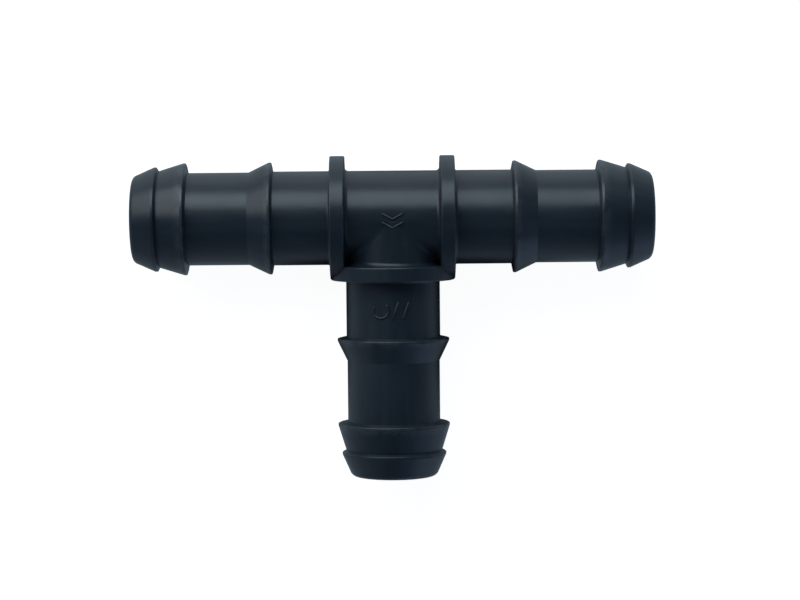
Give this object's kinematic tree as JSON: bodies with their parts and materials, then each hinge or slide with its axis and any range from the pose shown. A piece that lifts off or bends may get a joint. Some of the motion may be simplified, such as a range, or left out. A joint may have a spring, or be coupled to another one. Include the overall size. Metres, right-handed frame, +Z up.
{
  "type": "barbed insert tee",
  "caption": "Equal tee with barbed spigots and stop collars that joins soft irrigation pipe in a straight run with a branch at right angles.",
  "frame": {"origin": "the point where the axes of the three tubes cross", "axes": "+X along the run towards the right-hand spigot, the branch points to -Y, +Z up when the fitting lies on the rims of its collars"},
  "size_m": [0.0746, 0.0461, 0.0176],
  "materials": {
    "black_plastic": "as moulded, semi-gloss, blue-black, lightly scuffed"
  },
  "bodies": {
    "root": {"hub": "black_plastic", "left_collar": "black_plastic", "right_collar": "black_plastic", "branch_collar": "black_plastic", "left_spigot": "black_plastic", "right_spigot": "black_plastic", "branch_spigot": "black_plastic", "left_nose": "black_plastic", "right_nose": "black_plastic", "branch_nose": "black_plastic"}
  },
  "joints": []
}
